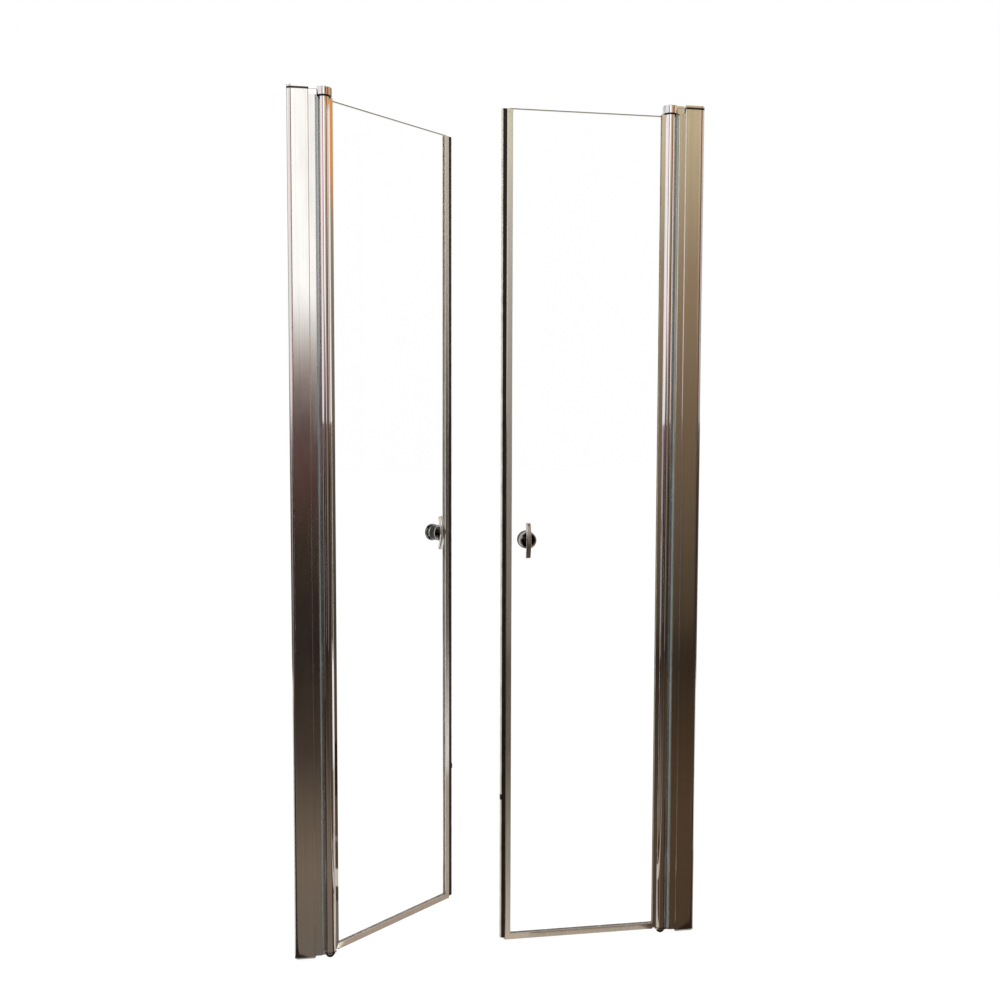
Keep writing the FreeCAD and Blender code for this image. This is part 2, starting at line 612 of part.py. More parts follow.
def magnet_strip():
    """Black magnetic strip with a foot in the free-edge profile's groove."""
    strip = slab(EDGE_OUT_X, MAGNET_OUT_X, MAGNET_THICKNESS / 2, MAGNET_BASE, EDGE_TOP)
    strip = strip.makeFillet(MAGNET_EDGE_R, upright_edges(strip, MAGNET_OUT_X))
    foot_x = MAGNET_GROOVE_X + SEAT_GAP
    foot = slab(foot_x, EDGE_OUT_X, MAGNET_GROOVE_WIDTH / 2 - SEAT_GAP, MAGNET_BASE, EDGE_TOP)
    return join(strip, foot)


def edge_lip():
    """Round-nosed lip outside the magnet strip, in one length below the plug and one above."""
    lengths = []
    for base, top in ((MAGNET_BASE, PLUG_BASE), (PLUG_TOP, EDGE_TOP)):
        lip = slab(MAGNET_OUT_X, LEAF_REACH, LIP_THICKNESS / 2, base, top)
        lengths.append(lip.makeFillet(LIP_NOSE_R, upright_edges(lip, LEAF_REACH)))
    return Part.makeCompound(lengths)


def edge_plug():
    plug = slab(MAGNET_OUT_X, LEAF_REACH, MAGNET_THICKNESS / 2, PLUG_BASE, PLUG_TOP)
    return plug.makeFillet(MAGNET_EDGE_R, upright_edges(plug, LEAF_REACH))


def knob_rod(radius, out0, out1):
    """A round on the knob's axis between two distances in front of the glass's middle plane."""
    return rod_y(radius, -out1, -out0, KNOB_X, KNOB_Z)


def knob_barrel():
    """Turned barrel with a dished front, bored for the stem and the stud."""
    barrel = knob_rod(KNOB_BARREL_R, GROMMET_FACE, KNOB_BARREL_OUT)
    barrel = barrel.makeFillet(KNOB_EDGE_R, round_edges(barrel, 1, -GROMMET_FACE))
    mouth = KNOB_BARREL_R - KNOB_RIM
    ball_r = (mouth ** 2 + KNOB_DISH_DEPTH ** 2) / (2 * KNOB_DISH_DEPTH)
    ball_out = KNOB_BARREL_OUT - KNOB_DISH_DEPTH + ball_r
    barrel = barrel.cut(Part.makeSphere(ball_r, Vector(KNOB_X, -ball_out, KNOB_Z)))
    barrel = barrel.cut(knob_rod(STEM_R + FIT, STEM_BASE_OUT, KNOB_BARREL_OUT))
    return barrel.cut(knob_rod(STUD_R + FIT, GROMMET_FACE, STUD_END_OUT))


def knob_bar():
    """Bowed cross bar with rounded ends, on a round stem that seats in the barrel."""
    half = BAR_LENGTH / 2
    shoulder = half - BAR_END_ROUND
    end_mid = (BAR_IN_END + BAR_OUT_END) / 2

    def point(out, z):
        return Vector(KNOB_X - BAR_WIDTH / 2, -out, KNOB_Z + z)

    corners = {
        "in_top": point(BAR_IN_END, shoulder),
        "out_top": point(BAR_OUT_END, shoulder),
        "out_low": point(BAR_OUT_END, -shoulder),
        "in_low": point(BAR_IN_END, -shoulder),
    }
    arcs = [
        Part.Arc(corners["in_top"], point(end_mid, half), corners["out_top"]),
        Part.Arc(corners["out_top"], point(BAR_OUT_MID, 0), corners["out_low"]),
        Part.Arc(corners["out_low"], point(end_mid, -half), corners["in_low"]),
        Part.Arc(corners["in_low"], point(BAR_IN_MID, 0), corners["in_top"]),
    ]
    outline = Part.Wire([arc.toShape() for arc in arcs])
    bar = Part.Face(outline).extrude(Vector(BAR_WIDTH, 0, 0))
    rims = [e for e in bar.Edges if abs(e.Vertexes[0].X - e.Vertexes[-1].X) < TINY]
    bar = bar.makeFillet(BAR_EDGE_R, rims)
    stem = knob_rod(STEM_R, STEM_BASE_OUT, BAR_IN_MID + BAR_MID_THICKNESS / 2)
    return join(bar, stem)


def knob_stud():
    """Stud from the barrel through the glass into the nut."""
    return knob_rod(STUD_R, -NUT_THREAD_OUT, STUD_END_OUT)


def knob_nut():
    """Broad round nut on the shower side, with a notch across its face for a key."""
    nut = rod_y(NUT_R, GROMMET_FACE, NUT_OUT, KNOB_X, KNOB_Z)
    nut = nut.makeFillet(NUT_EDGE_R, round_edges(nut, 1, NUT_OUT))
    reach = NUT_R - NUT_EDGE_R
    half = NUT_NOTCH / 2
    floor_y = NUT_OUT - NUT_NOTCH_DEPTH
    nut = nut.cut(block(KNOB_X - reach, KNOB_X + reach, floor_y, NUT_OUT, KNOB_Z - half, KNOB_Z + half))
    return nut.cut(rod_y(STUD_R + FIT, GROMMET_FACE, NUT_THREAD_OUT, KNOB_X, KNOB_Z))


def knob_grommets():
    """Two clear grommets that keep the metal off the glass, each with a collar in the hole."""
    rings = []
    for face, out, collar in (
        (GLASS_HALF, GROMMET_FACE, GROMMET_COLLAR_GAP),
        (-GLASS_HALF, -GROMMET_FACE, -GROMMET_COLLAR_GAP),
    ):
        flat = rod_y(GROMMET_R, min(face, out), max(face, out), KNOB_X, KNOB_Z)
        neck = rod_y(KNOB_HOLE_R - FIT, min(face, collar), max(face, collar), KNOB_X, KNOB_Z)
        bore = rod_y(STUD_R + FIT, -GROMMET_FACE, GROMMET_FACE, KNOB_X, KNOB_Z)
        rings.append(join(flat, neck).cut(bore))
    return Part.makeCompound(rings)


# Both sides

FIXED_PIECES = {
    "wall_profile": wall_profile,
    "wall_top_cap": wall_top_cap,
    "wall_bottom_cap": wall_bottom_cap,
    "clamp_screws": clamp_screws,
    "clamp_nuts": clamp_nuts,
    "jamb_profile": jamb_profile,
    "top_bracket": top_bracket,
    "bottom_bracket": bottom_bracket,
    "domed_foot": domed_foot,
    "pivot_pins": pivot_pins,
    "bracket_screws": bracket_screws,
    "thrust_washers": thrust_washers,
    "jamb_seal": jamb_seal,
}
LEAF_PIECES = {
    "hinge_profile": hinge_profile,
    "hinge_bushes": hinge_bushes,
    "channel_caps": channel_caps,
    "glass_panel": glass_panel,
    "glazing_gaskets": glazing_gaskets,
    "free_edge_profile": free_edge_profile,
    "bottom_rail": bottom_rail,
    "corner_screw": corner_screw,
    "magnet_strip": magnet_strip,
    "edge_lip": edge_lip,
    "edge_plug": edge_plug,
    "knob_barrel": knob_barrel,
    "knob_bar": knob_bar,
    "knob_stud": knob_stud,
    "knob_nut": knob_nut,
    "knob_grommets": knob_grommets,
}


def export(shape, name):
    shape.exportStep(f"parts/{name}.step")


def left_and_right(shape, left_turn):
    """The piece on the left, turned about its pivot, and its mirror image on the right."""
    left = shape.copy()
    left.rotate(ORIGIN, ALONG_Z, left_turn)
    left.translate(Vector(-PIVOT_X, 0, 0))
    right = shape.mirror(ORIGIN, ALONG_X)
    right.translate(Vector(PIVOT_X, 0, 0))
    return {"left": left, "right": right}


for pieces, turn in ((FIXED_PIECES, 0.0), (LEAF_PIECES, LEFT_OPEN_ANGLE)):
    for piece_name, make in pieces.items():
        for side_name, placed in left_and_right(make(), turn).items():
            export(placed, f"{side_name}_{piece_name}")
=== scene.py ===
import math

import bpy
from mathutils import Matrix, Vector

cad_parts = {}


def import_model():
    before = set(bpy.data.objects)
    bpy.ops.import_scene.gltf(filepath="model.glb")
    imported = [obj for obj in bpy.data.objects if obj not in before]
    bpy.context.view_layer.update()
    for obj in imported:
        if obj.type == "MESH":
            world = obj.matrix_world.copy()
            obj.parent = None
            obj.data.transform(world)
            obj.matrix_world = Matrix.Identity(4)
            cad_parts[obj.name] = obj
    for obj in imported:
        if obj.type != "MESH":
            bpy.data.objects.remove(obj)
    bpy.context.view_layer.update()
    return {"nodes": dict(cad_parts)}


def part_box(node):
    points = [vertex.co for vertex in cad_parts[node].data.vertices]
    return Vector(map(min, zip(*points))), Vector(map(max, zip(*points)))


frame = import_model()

# Looks of the double-leaf pivot shower door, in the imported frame.
# Metres, +X along the opening, +Y into the shower.

NODES = frame["nodes"]
SIDES = ("left", "right")


# Colours

def linear(red, green, blue):
    """A display colour of 0 to 255 as linear light."""
    def channel(value):
        c = value / 255
        return c / 12.92 if c <= 0.04045 else ((c + 0.055) / 1.055) ** 2.4
    return (channel(red), channel(green), channel(blue), 1.0)


# Node helpers

class Tree:
    """The node tree of a material or of the world, with short ways to add and link nodes."""

    def __init__(self, owner, output="ShaderNodeOutputMaterial"):
        owner.use_nodes = True
        self.owner = owner
        self.nodes = owner.node_tree.nodes
        self.links = owner.node_tree.links
        self.nodes.clear()
        self.output = self.nodes.new(output)

    @classmethod
    def material(cls, name):
        return cls(bpy.data.materials.new(name))

    def add(self, kind, **settings):
        node = self.nodes.new(kind)
        for key, value in settings.items():
            setattr(node, key, value)
        return node

    def link(self, source, target):
        self.links.new(source, target)

    def feed(self, value, socket):
        """Links a socket's value, or sets a plain one."""
        if isinstance(value, bpy.types.NodeSocket):
            self.link(value, socket)
        else:
            socket.default_value = value

    def position(self, across, along):
        """Object coordinates, scaled across the profile and along its height."""
        where = self.add("ShaderNodeTexCoord")
        mapping = self.add("ShaderNodeMapping")
        mapping.inputs["Scale"].default_value = (across, across, along)
        self.link(where.outputs["Object"], mapping.inputs["Vector"])
        return mapping.outputs["Vector"]

    def noise(self, across, along, detail=4.0, roughness=0.55):
        node = self.add("ShaderNodeTexNoise")
        node.inputs["Scale"].default_value = 1.0
        node.inputs["Detail"].default_value = detail
        node.inputs["Roughness"].default_value = roughness
        self.link(self.position(across, along), node.inputs["Vector"])
        return node.outputs["Fac"]

    def ramp(self, factor, stops):
        node = self.add("ShaderNodeValToRGB")
        elements = node.color_ramp.elements
        while len(elements) < len(stops):
            elements.new(0.5)
        for element, (place, colour) in zip(elements, stops):
            element.position = place
            element.color = colour
        self.link(factor, node.inputs["Fac"])
        return node.outputs["Color"]

    def height_mask(self, start, end):
        """Zero below one height and one above the other."""
        return self.ranged(self.along((0.0, 0.0, 1.0)), start, end)

    def ranged(self, value, start, end, low=0.0, high=1.0):
        """A value between two places as a value from low to high."""
        node = self.add("ShaderNodeMapRange")
        node.inputs["From Min"].default_value = start
        node.inputs["From Max"].default_value = end
        node.inputs["To Min"].default_value = low
        node.inputs["To Max"].default_value = high
        self.link(value, node.inputs["Value"])
        return node.outputs["Result"]

    def spread(self, factor, low, high):
        """A noise factor as a value from low to high."""
        return self.ranged(factor, 0.3, 0.7, low, high)

    def mixed(self, mask, below, above):
        """One colour where the mask is zero and another where it is one."""
        node = self.add("ShaderNodeMix", data_type="RGBA")
        self.link(mask, node.inputs["Factor"])
        self.feed(below, node.inputs["A"])
        self.feed(above, node.inputs["B"])
        return node.outputs["Result"]

    def along(self, axis):
        """Distance along an axis."""
        where = self.add("ShaderNodeTexCoord")
        dot = self.add("ShaderNodeVectorMath", operation="DOT_PRODUCT")
        dot.inputs[1].default_value = axis
        self.link(where.outputs["Object"], dot.inputs[0])
        return dot.outputs["Value"]

    def compute(self, operation, *values):
        """A math node fed with sockets and plain numbers."""
        node = self.add("ShaderNodeMath", operation=operation)
        for value, socket in zip(values, node.inputs):
            self.feed(value, socket)
        return node.outputs["Value"]

    def bump(self, height, distance):
        node = self.add("ShaderNodeBump")
        node.inputs["Strength"].default_value = 1.0
        node.inputs["Distance"].default_value = distance
        self.link(height, node.inputs["Height"])
        return node.outputs["Normal"]

    def surface(self, **sockets):
        shader = self.add("ShaderNodeBsdfPrincipled")
        for key, value in sockets.items():
            self.feed(value, shader.inputs[key.replace("_", " ")])
        self.link(shader.outputs["BSDF"], self.output.inputs["Surface"])
        return self.owner


def shades(low, high):
    """Two stops of a ramp."""
    return [(0.3, low), (0.7, high)]


LINE_SHARE = 0.55


def drawn_metal(
    name, low, high, rough_low, rough_high, fine=2600.0, anisotropic=0.6, depth=2e-5, metallic=1.0
):
    """Extruded metal with fine lines along its length, cloudy patches and a few deeper scratches."""
    tree = Tree.material(name)
    lines = tree.noise(fine, 3.0, 6.0, 0.7)
    bands = tree.noise(fine / 6, 0.8, 3.0)
    clouds = tree.noise(30.0, 6.0, 3.0)
    broad = tree.compute("MULTIPLY", bands, 1.0 - LINE_SHARE)
    grain = tree.compute("MULTIPLY_ADD", lines, LINE_SHARE, broad)
    tangent = tree.add("ShaderNodeTangent", direction_type="RADIAL", axis="Z")
    return tree.surface(
        Base_Color=tree.ramp(grain, shades(low, high)),
        Metallic=metallic,
        Roughness=tree.spread(clouds, rough_low, rough_high),
        Anisotropic=anisotropic,
        Tangent=tangent.outputs["Tangent"],
        Normal=tree.bump(grain, depth),
    )


def polished_metal(name, low, high, rough_low, rough_high):
    """Plated metal with faint waviness and fingerprints in its gloss."""
    tree = Tree.material(name)
    smears = tree.noise(140.0, 60.0, 5.0, 0.6)
    waves = tree.noise(45.0, 8.0, 1.0)
    return tree.surface(
        Base_Color=tree.ramp(smears, shades(low, high)),
        Metallic=1.0,
        Roughness=tree.spread(smears, rough_low, rough_high),
        Normal=tree.bump(waves, 2e-5),
    )


SHARP = 0.0001


def cap_metal_with_painted_neck_shade(name, neck_top):
    """Plated cap whose set-back neck is painted black, as the shade in the recess under the cap."""
    tree = Tree.material(name)
    smears = tree.noise(140.0, 60.0, 5.0, 0.6)
    # Below neck_top the cap is painted black as shade in the recess under it.
    plated = tree.height_mask(neck_top - SHARP, neck_top + SHARP)
    plating = tree.ramp(smears, shades((0.70, 0.69, 0.66, 1), (0.82, 0.81, 0.78, 1)))
    return tree.surface(
        Base_Color=tree.mixed(plated, linear(18, 13, 12), plating),
        Metallic=plated,
        Roughness=tree.spread(smears, 0.08, 0.18),
        Normal=tree.bump(smears, 1e-5),
    )


# Widths of the painted highlights at the barrel's front rim and at its foot ring.
RIM_HIGHLIGHT_IN, RIM_HIGHLIGHT_OUT = 0.0013, 0.0010
FOOT_RING_HIGHLIGHT_IN, FOOT_RING_HIGHLIGHT_OUT = 0.0012, 0.0016


def barrel_metal_with_painted_highlights(name, axis, back, front):
    """Near-black barrel, partly black chrome and partly painted dark reflection, with painted highlights: a
    bright rim round its dished front and a bright ring at its foot.
    """
    tree = Tree.material(name)
    smears = tree.noise(140.0, 60.0, 5.0, 0.6)
    turned = tree.noise(900.0, 900.0, 2.0)
    place = tree.along(axis)
    # The rim and the foot ring are painted highlights on the dark barrel.
    rim = tree.ranged(place, front - RIM_HIGHLIGHT_IN, front - RIM_HIGHLIGHT_OUT)
    ring = tree.ranged(place, back + FOOT_RING_HIGHLIGHT_OUT, back + FOOT_RING_HIGHLIGHT_IN)
    dark = tree.ramp(smears, shades((0.022, 0.02, 0.018, 1), (0.055, 0.05, 0.044, 1)))
    bright = tree.ramp(smears, shades((0.62, 0.60, 0.56, 1), (0.78, 0.76, 0.72, 1)))
    return tree.surface(
        Base_Color=tree.mixed(tree.compute("MAXIMUM", rim, ring), dark, bright),
        Metallic=1.0,
        Roughness=tree.spread(smears, 0.06, 0.14),
        Normal=tree.bump(turned, 1e-5),
    )


SEAL_RIM_IN, SEAL_RIM_OUT = 0.0042, 0.0038


def silvered_seal(name, outer):
    """Soft strip with a silvered core and a clear, greener rim beside the jamb, painted lighter as the
    highlight along the bead.
    """
    tree = Tree.material(name)
    beads = tree.noise(500.0, 260.0, 3.0)
    clouds = tree.noise(80.0, 12.0, 3.0)
    off_centre = tree.compute("ABSOLUTE", tree.along((1.0, 0.0, 0.0)))
    # The rim's colour is partly the clear edge's own tint and partly a painted highlight.
    rim = tree.ranged(off_centre, outer - SEAL_RIM_IN, outer - SEAL_RIM_OUT)
    core = tree.ramp(clouds, shades((0.34, 0.35, 0.35, 1), (0.44, 0.45, 0.45, 1)))
    clear = tree.ramp(clouds, shades((0.36, 0.45, 0.43, 1), (0.46, 0.55, 0.53, 1)))
    return tree.surface(
        Base_Color=tree.mixed(rim, core, clear),
        Metallic=tree.ranged(rim, 0.0, 1.0, 0.75, 0.25),
        Roughness=tree.spread(clouds, 0.14, 0.3),
        Normal=tree.bump(beads, 3e-5),
    )


def moulded_plastic(
    name, low, high, rough_low, rough_high, grain=4000.0, depth=3e-5, gloss=0.5
):
    """Moulded plastic or rubber with a fine grain and slight colour variation."""
    tree = Tree.material(name)
    pits = tree.noise(grain, grain, 2.0)
    clouds = tree.noise(60.0, 30.0, 4.0)
    return tree.surface(
        Base_Color=tree.ramp(clouds, shades(low, high)),
        Roughness=tree.spread(clouds, rough_low, rough_high),
        Specular_IOR_Level=gloss,
        Normal=tree.bump(pits, depth),
    )


EDGE_REFLECTION_IN, EDGE_REFLECTION_OUT = 0.0022, 0.0012


def clear_glass(name, top):
    """Clear pane with faint smears in its gloss and a brown band painted along its ground top edge as the
    reflection seen in that edge.
    """
    tree = Tree.material(name)
    smears = tree.noise(14.0, 7.0, 5.0, 0.6)
    # The brown band at the top is a painted reflection.
    edge = tree.height_mask(top - EDGE_REFLECTION_IN, top - EDGE_REFLECTION_OUT)
    return tree.surface(
        Base_Color=tree.ramp(edge, [(0.0, (0.996, 0.999, 0.998, 1)), (1.0, linear(116, 104, 86))]),
        Roughness=tree.spread(smears, 0.0, 0.012),
        Transmission_Weight=1.0,
        IOR=1.12,
    )


def clear_plastic(name, low, high, transmission):
    """Soft clear strip with fine beads along its length."""
    tree = Tree.material(name)
    beads = tree.noise(500.0, 260.0, 3.0)
    clouds = tree.noise(80.0, 12.0, 3.0)
    return tree.surface(
        Base_Color=tree.ramp(clouds, shades(low, high)),
        Roughness=tree.spread(clouds, 0.14, 0.3),
        Transmission_Weight=transmission,
        IOR=1.3,
        Normal=tree.bump(beads, 6e-5),
    )


LEFT_OPEN = math.radians(38.8)
KNOB_AXES = {"left": (math.sin(LEFT_OPEN), -math.cos(LEFT_OPEN), 0.0), "right": (0.0, -1.0, 0.0)}


def knob_metal(side):
    """The barrel's colours and painted highlights, placed along the axis of one side's knob."""
    axis = KNOB_AXES[side]
    places = [vertex.co.dot(Vector(axis)) for vertex in NODES[f"{side}_knob_barrel"].data.vertices]
    return barrel_metal_with_painted_highlights(f"black_chrome_{side}", axis, min(places), max(places))


PANE_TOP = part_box("left_glass_panel")[1][2]
SEAL_OUTER = -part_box("left_jamb_seal")[0][0]
CAP_NECK = 0.0042
CAP_NECK_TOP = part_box("left_wall_top_cap")[0][2] + CAP_NECK
MATERIALS = {
    "wall": drawn_metal("bright_aluminium", (0.66, 0.64, 0.61, 1), (0.84, 0.82, 0.79, 1), 0.10, 0.20),
    "jamb": drawn_metal("bright_aluminium_jamb", (0.67, 0.65, 0.62, 1), (0.83, 0.81, 0.78, 1), 0.12, 0.22),
    "satin": drawn_metal(
        "satin_aluminium", (0.60, 0.56, 0.51, 1), (0.76, 0.72, 0.67, 1), 0.12, 0.20,
        anisotropic=0.4, depth=1e-5, metallic=0.95),
    "chrome": polished_metal("chrome", (0.70, 0.69, 0.68, 1), (0.82, 0.82, 0.82, 1), 0.03, 0.09),
    "tube": drawn_metal(
        "chrome_tube", (0.74, 0.73, 0.72, 1), (0.88, 0.88, 0.88, 1), 0.03, 0.06, 3800.0, 0.0, 1e-6),
    "brushed": drawn_metal(
        "brushed_steel", (0.55, 0.52, 0.48, 1), (0.74, 0.71, 0.67, 1), 0.14, 0.24, 3000.0, 0.3, 1e-5),
    "left_dark": knob_metal("left"),
    "right_dark": knob_metal("right"),
    "steel": polished_metal("steel", (0.48, 0.48, 0.47, 1), (0.64, 0.64, 0.63, 1), 0.16, 0.30),
    "black": moulded_plastic(
        "black_plastic", linear(20, 14, 14), linear(34, 27, 26), 0.30, 0.48, 4000.0, 3e-5, 0.25),
    "seal": silvered_seal("silvered_seal", SEAL_OUTER),
    "nut": polished_metal("dark_chrome", (0.16, 0.155, 0.145, 1), (0.26, 0.25, 0.24, 1), 0.05, 0.12),
    "grey": moulded_plastic("grey_plastic", linear(140, 136, 130), linear(168, 163, 156), 0.34, 0.5),
    "lip": moulded_plastic("pale_rubber", linear(190, 184, 168), linear(226, 222, 208), 0.42, 0.58, 2500.0),
    "clear": clear_plastic("clear_seal", linear(226, 238, 236), linear(246, 250, 249), 0.15),
    "gasket": clear_plastic("clear_gasket", linear(176, 170, 160), linear(204, 200, 190), 0.2),
    "glass": clear_glass("glass", PANE_TOP),
    "cap": cap_metal_with_painted_neck_shade("plated_cap", CAP_NECK_TOP),
}
LOOKS = {
    "wall_profile": ("wall", "bright_aluminium"),
    "wall_top_cap": ("cap", "chrome"),
    "wall_bottom_cap": ("grey", "grey_plastic"),
    "clamp_screws": ("steel", "steel"),
    "clamp_nuts": ("steel", "steel"),
    "jamb_profile": ("jamb", "bright_aluminium"),
    "top_bracket": ("chrome", "chrome"),
    "bottom_bracket": ("chrome", "chrome"),
    "domed_foot": ("chrome", "chrome"),
    "pivot_pins": ("steel", "steel"),
    "bracket_screws": ("steel", "steel"),
    "thrust_washers": ("black", "black_plastic"),
    "jamb_seal": ("seal", "clear_seal"),
    "hinge_profile": ("tube", "chrome"),
    "hinge_bushes": ("black", "black_plastic"),
    "channel_caps": ("grey", "grey_plastic"),
    "glass_panel": ("glass", "glass"),
    "glazing_gaskets": ("gasket", "clear_seal"),
    "free_edge_profile": ("satin", "satin_aluminium"),
    "bottom_rail": ("satin", "satin_aluminium"),
    "corner_screw": ("steel", "steel"),
    "magnet_strip": ("black", "black_plastic"),
    "edge_lip": ("lip", "pale_rubber"),
    "edge_plug": ("black", "black_plastic"),
    "knob_barrel": ("dark", "chrome"),
    "knob_bar": ("brushed", "brushed_steel"),
    "knob_stud": ("steel", "steel"),
    "knob_nut": ("nut", "chrome"),
    "knob_grommets": ("clear", "clear_seal"),
}


def dress(node, material):
    node.data.materials.clear()
    node.data.materials.append(material)


for side in SIDES:
    for piece, (look, slot) in LOOKS.items():
        node = NODES[f"{side}_{piece}"]
        dress(node, MATERIALS.get(f"{side}_{look}") or MATERIALS[look])
    NODES[f"{side}_glass_panel"].visible_shadow = False


# Stage: floor, backdrop colour, lamps and reflection cards

def bright_to(tree):
    """One for rays that show the backdrop: camera, gloss and glass rays."""
    path = tree.add("ShaderNodeLightPath").outputs
    seen = tree.compute("MAXIMUM", path["Is Camera Ray"], path["Is Glossy Ray"])
    return tree.compute("MAXIMUM", seen, path["Is Transmission Ray"])


def plane(name, corners, material):
    mesh = bpy.data.meshes.new(name)
    mesh.from_pydata(corners, [], [(0, 1, 2, 3)])
    obj = bpy.data.objects.new(name, mesh)
    obj.data.materials.append(material)
    bpy.context.scene.collection.objects.link(obj)
    return obj


FLOOR_GLOW = 1.14
FLOOR_GLOW_SHARE = 0.82


def floor_material():
    """Pale floor that reads white and keeps a soft shadow."""
    tree = Tree.material("floor")
    diffuse = tree.add("ShaderNodeBsdfDiffuse")
    diffuse.inputs["Color"].default_value = (0.86, 0.86, 0.86, 1)
    glow = tree.add("ShaderNodeEmission")
    glow.inputs["Color"].default_value = (1, 1, 1, 1)
    glow.inputs["Strength"].default_value = FLOOR_GLOW
    mix = tree.add("ShaderNodeMixShader")
    tree.link(tree.compute("MULTIPLY", bright_to(tree), FLOOR_GLOW_SHARE), mix.inputs["Fac"])
    tree.link(diffuse.outputs["BSDF"], mix.inputs[1])
    tree.link(glow.outputs["Emission"], mix.inputs[2])
    tree.link(mix.outputs["Shader"], tree.output.inputs["Surface"])
    return tree.owner


FLOOR = 30.0
SQUARE = ((-1, -1), (1, -1), (1, 1), (-1, 1))
plane("floor", [(FLOOR * x, FLOOR * y, 0.0) for x, y in SQUARE], floor_material())


RING_R = 3.2
RING_TOP = 4.5
RING_LOW = 1.2
BOSS_LEVEL = 2.86
CARD_FLOOR = 0.0004
CARD_STEP = 0.0003
METAL_GAIN = 1.37
WHITE = (255, 255, 255)
# Dark colour of the reflection cards, seen on the metal as a dark reflection.
DARK_REFLECTION = (44, 36, 32)


def card_material(name, axis, start, end, stops):
    """Light of a reflection card, graded along one axis between two places."""
    tree = Tree.material(name)
    where = tree.add("ShaderNodeTexCoord")
    split = tree.add("ShaderNodeSeparateXYZ")
    tree.link(where.outputs["Object"], split.inputs["Vector"])
    graded = tree.ranged(split.outputs[axis], start, end)
    glow = tree.add("ShaderNodeEmission")
    glow.inputs["Strength"].default_value = METAL_GAIN
    places = [((place - start) / (end - start), linear(*colour)) for place, colour in stops]
    tree.link(tree.ramp(graded, places), glow.inputs["Color"])
    tree.link(glow.outputs["Emission"], tree.output.inputs["Surface"])
    return tree.owner


def card(name, corners, material):
    """A studio flag that only metal and glass see."""
    obj = plane(name, corners, material)
    obj.visible_camera = False
    obj.visible_diffuse = False
    obj.visible_shadow = False
    obj.visible_transmission = False
    obj.visible_volume_scatter = False


def toward(bearing, distance):
    """Place on the floor at a bearing, counted from straight out of the shower towards +X."""
    angle = math.radians(bearing)
    return distance * math.sin(angle), -distance * math.cos(angle)


def panel(name, start, end, stops, foot=0.0):
    """An upright panel of the ring round the door between two bearings, graded by height."""
    x0, y0 = toward(start, RING_R)
    x1, y1 = toward(end, RING_R)
    top = stops[-1][0]
    corners = [(x0, y0, foot), (x1, y1, foot), (x1, y1, top), (x0, y0, top)]
    card(name, corners, card_material(name, "Z", foot, top, stops))


def floor_card(name, span, stops, lean=0.0, level=CARD_FLOOR):
    """A panel just above the floor, graded by its place in front of the door or behind it."""
    x0, x1 = span
    near, far = stops[-1][0], stops[0][0]
    corners = [(x0 + lean, far, level), (x1 + lean, far, level), (x1, near, level), (x0, near, level)]
    card(name, corners, card_material(name, "Y", far, near, stops))


